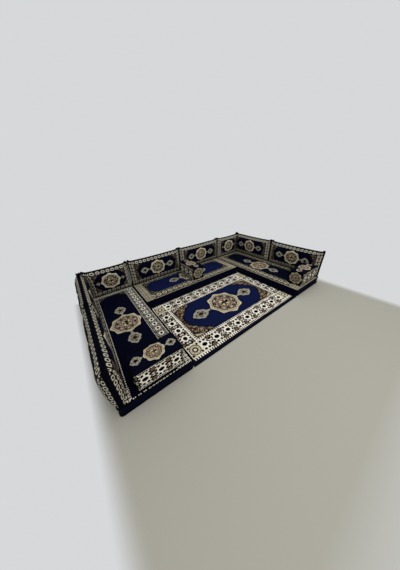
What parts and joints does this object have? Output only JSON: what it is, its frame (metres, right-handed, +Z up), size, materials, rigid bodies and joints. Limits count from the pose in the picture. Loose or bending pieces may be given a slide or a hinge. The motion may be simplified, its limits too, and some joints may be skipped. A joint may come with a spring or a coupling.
{
  "type": "majlis floor sofa",
  "caption": "U-shaped majlis floor sofa: seat mattresses on the floor, standing back cushions, loose armrests and a matching rug in carpet-patterned cloth.",
  "frame": {"origin": "on the floor, under the middle of the whole set's bounding box", "axes": "+X to the right along the back wall's run, +Y towards the back wall, +Z up"},
  "size_m": [3.3402, 1.9252, 0.5407],
  "materials": {
    "seat_top_cloth": "cut-pile carpet cloth with a navy field, cream border and medallion",
    "navy_band": "plain navy velvet, matt",
    "base_cloth": "plain dark lining cloth, matt",
    "black_piping": "black corded piping, slight sheen",
    "foam": null,
    "zip_tape": "black woven zip tape with a moulded chain",
    "zip_slider": "black enamelled metal",
    "cushion_cloth": "carpet cloth with a navy field, cream border and medallion; plain navy gusset",
    "cushion_filling": "fibre filling",
    "armrest_cloth": "carpet cloth, navy top with a medallion and patterned sides",
    "rug_pile": "cut pile, navy field, cream border, medallion",
    "rug_backing": "woven jute-coloured backing",
    "rug_binding": "plain dark navy flat border, matt"
  },
  "bodies": {
    "floor_set": {"seat_left_top_panel": "seat_top_cloth", "seat_left_side_band": "navy_band", "seat_left_base_panel": "base_cloth", "seat_left_foam": "foam", "seat_left_piping": "black_piping", "seat_left_zip": "zip_tape", "seat_middle_top_panel": "seat_top_cloth", "seat_middle_side_band": "navy_band", "seat_middle_base_panel": "base_cloth", "seat_middle_foam": "foam", "seat_middle_piping": "black_piping", "seat_middle_zip": "zip_tape", "seat_right_top_panel": "seat_top_cloth", "seat_right_side_band": "navy_band", "seat_right_base_panel": "base_cloth", "seat_right_foam": "foam", "seat_right_piping": "black_piping", "seat_right_zip": "zip_tape", "rug_backing": "rug_backing", "rug_pile": "rug_pile", "rug_binding": "rug_binding"},
    "zip_slider_left": {"seat_left_zip_slider": "zip_slider"},
    "zip_slider_middle": {"seat_middle_zip_slider": "zip_slider"},
    "zip_slider_right": {"seat_right_zip_slider": "zip_slider"},
    "back_left_front": {"back_left_front_cover": "cushion_cloth", "back_left_front_filling": "cushion_filling", "back_left_front_piping": "black_piping"},
    "back_left_rear": {"back_left_rear_cover": "cushion_cloth", "back_left_rear_filling": "cushion_filling", "back_left_rear_piping": "black_piping"},
    "back_corner_left": {"back_corner_left_cover": "cushion_cloth", "back_corner_left_filling": "cushion_filling", "back_corner_left_piping": "black_piping"},
    "back_wall_left": {"back_wall_left_cover": "cushion_cloth", "back_wall_left_filling": "cushion_filling", "back_wall_left_piping": "black_piping"},
    "back_wall_right": {"back_wall_right_cover": "cushion_cloth", "back_wall_right_filling": "cushion_filling", "back_wall_right_piping": "black_piping"},
    "back_corner_right": {"back_corner_right_cover": "cushion_cloth", "back_corner_right_filling": "cushion_filling", "back_corner_right_piping": "black_piping"},
    "back_right_rear": {"back_right_rear_cover": "cushion_cloth", "back_right_rear_filling": "cushion_filling", "back_right_rear_piping": "black_piping"},
    "back_right_front": {"back_right_front_cover": "cushion_cloth", "back_right_front_filling": "cushion_filling", "back_right_front_piping": "black_piping"},
    "armrest_left": {"armrest_left_cover": "armrest_cloth", "armrest_left_foam": "foam", "armrest_left_piping": "black_piping"},
    "armrest_middle": {"armrest_middle_cover": "armrest_cloth", "armrest_middle_foam": "foam", "armrest_middle_piping": "black_piping"},
    "armrest_right": {"armrest_right_cover": "armrest_cloth", "armrest_right_foam": "foam", "armrest_right_piping": "black_piping"}
  },
  "joints": [
    {"name": "zip_left_slide", "type": "slide", "parent": "floor_set", "child": "zip_slider_left", "axis": [0, -1, 0], "range_m": [0, 1.176]},
    {"name": "zip_middle_slide", "type": "slide", "parent": "floor_set", "child": "zip_slider_middle", "axis": [-1, 0, 0], "range_m": [0, 1.176]},
    {"name": "zip_right_slide", "type": "slide", "parent": "floor_set", "child": "zip_slider_right", "axis": [0, 1, 0], "range_m": [0, 1.176]},
    {"name": "back_left_front_lift", "type": "slide", "parent": "floor_set", "child": "back_left_front", "axis": [0, 0, 1], "range_m": [0, 0.3]},
    {"name": "back_left_rear_lift", "type": "slide", "parent": "floor_set", "child": "back_left_rear", "axis": [0, 0, 1], "range_m": [0, 0.3]},
    {"name": "back_corner_left_lift", "type": "slide", "parent": "floor_set", "child": "back_corner_left", "axis": [0, 0, 1], "range_m": [0, 0.3]},
    {"name": "back_wall_left_lift", "type": "slide", "parent": "floor_set", "child": "back_wall_left", "axis": [0, 0, 1], "range_m": [0, 0.3]},
    {"name": "back_wall_right_lift", "type": "slide", "parent": "floor_set", "child": "back_wall_right", "axis": [0, 0, 1], "range_m": [0, 0.3]},
    {"name": "back_corner_right_lift", "type": "slide", "parent": "floor_set", "child": "back_corner_right", "axis": [0, 0, 1], "range_m": [0, 0.3]},
    {"name": "back_right_rear_lift", "type": "slide", "parent": "floor_set", "child": "back_right_rear", "axis": [0, 0, 1], "range_m": [0, 0.3]},
    {"name": "back_right_front_lift", "type": "slide", "parent": "floor_set", "child": "back_right_front", "axis": [0, 0, 1], "range_m": [0, 0.3]},
    {"name": "armrest_left_lift", "type": "slide", "parent": "floor_set", "child": "armrest_left", "axis": [0, 0, 1], "range_m": [0, 0.3]},
    {"name": "armrest_middle_lift", "type": "slide", "parent": "floor_set", "child": "armrest_middle", "axis": [0, 0, 1], "range_m": [0, 0.3]},
    {"name": "armrest_right_lift", "type": "slide", "parent": "floor_set", "child": "armrest_right", "axis": [0, 0, 1], "range_m": [0, 0.3]}
  ]
}
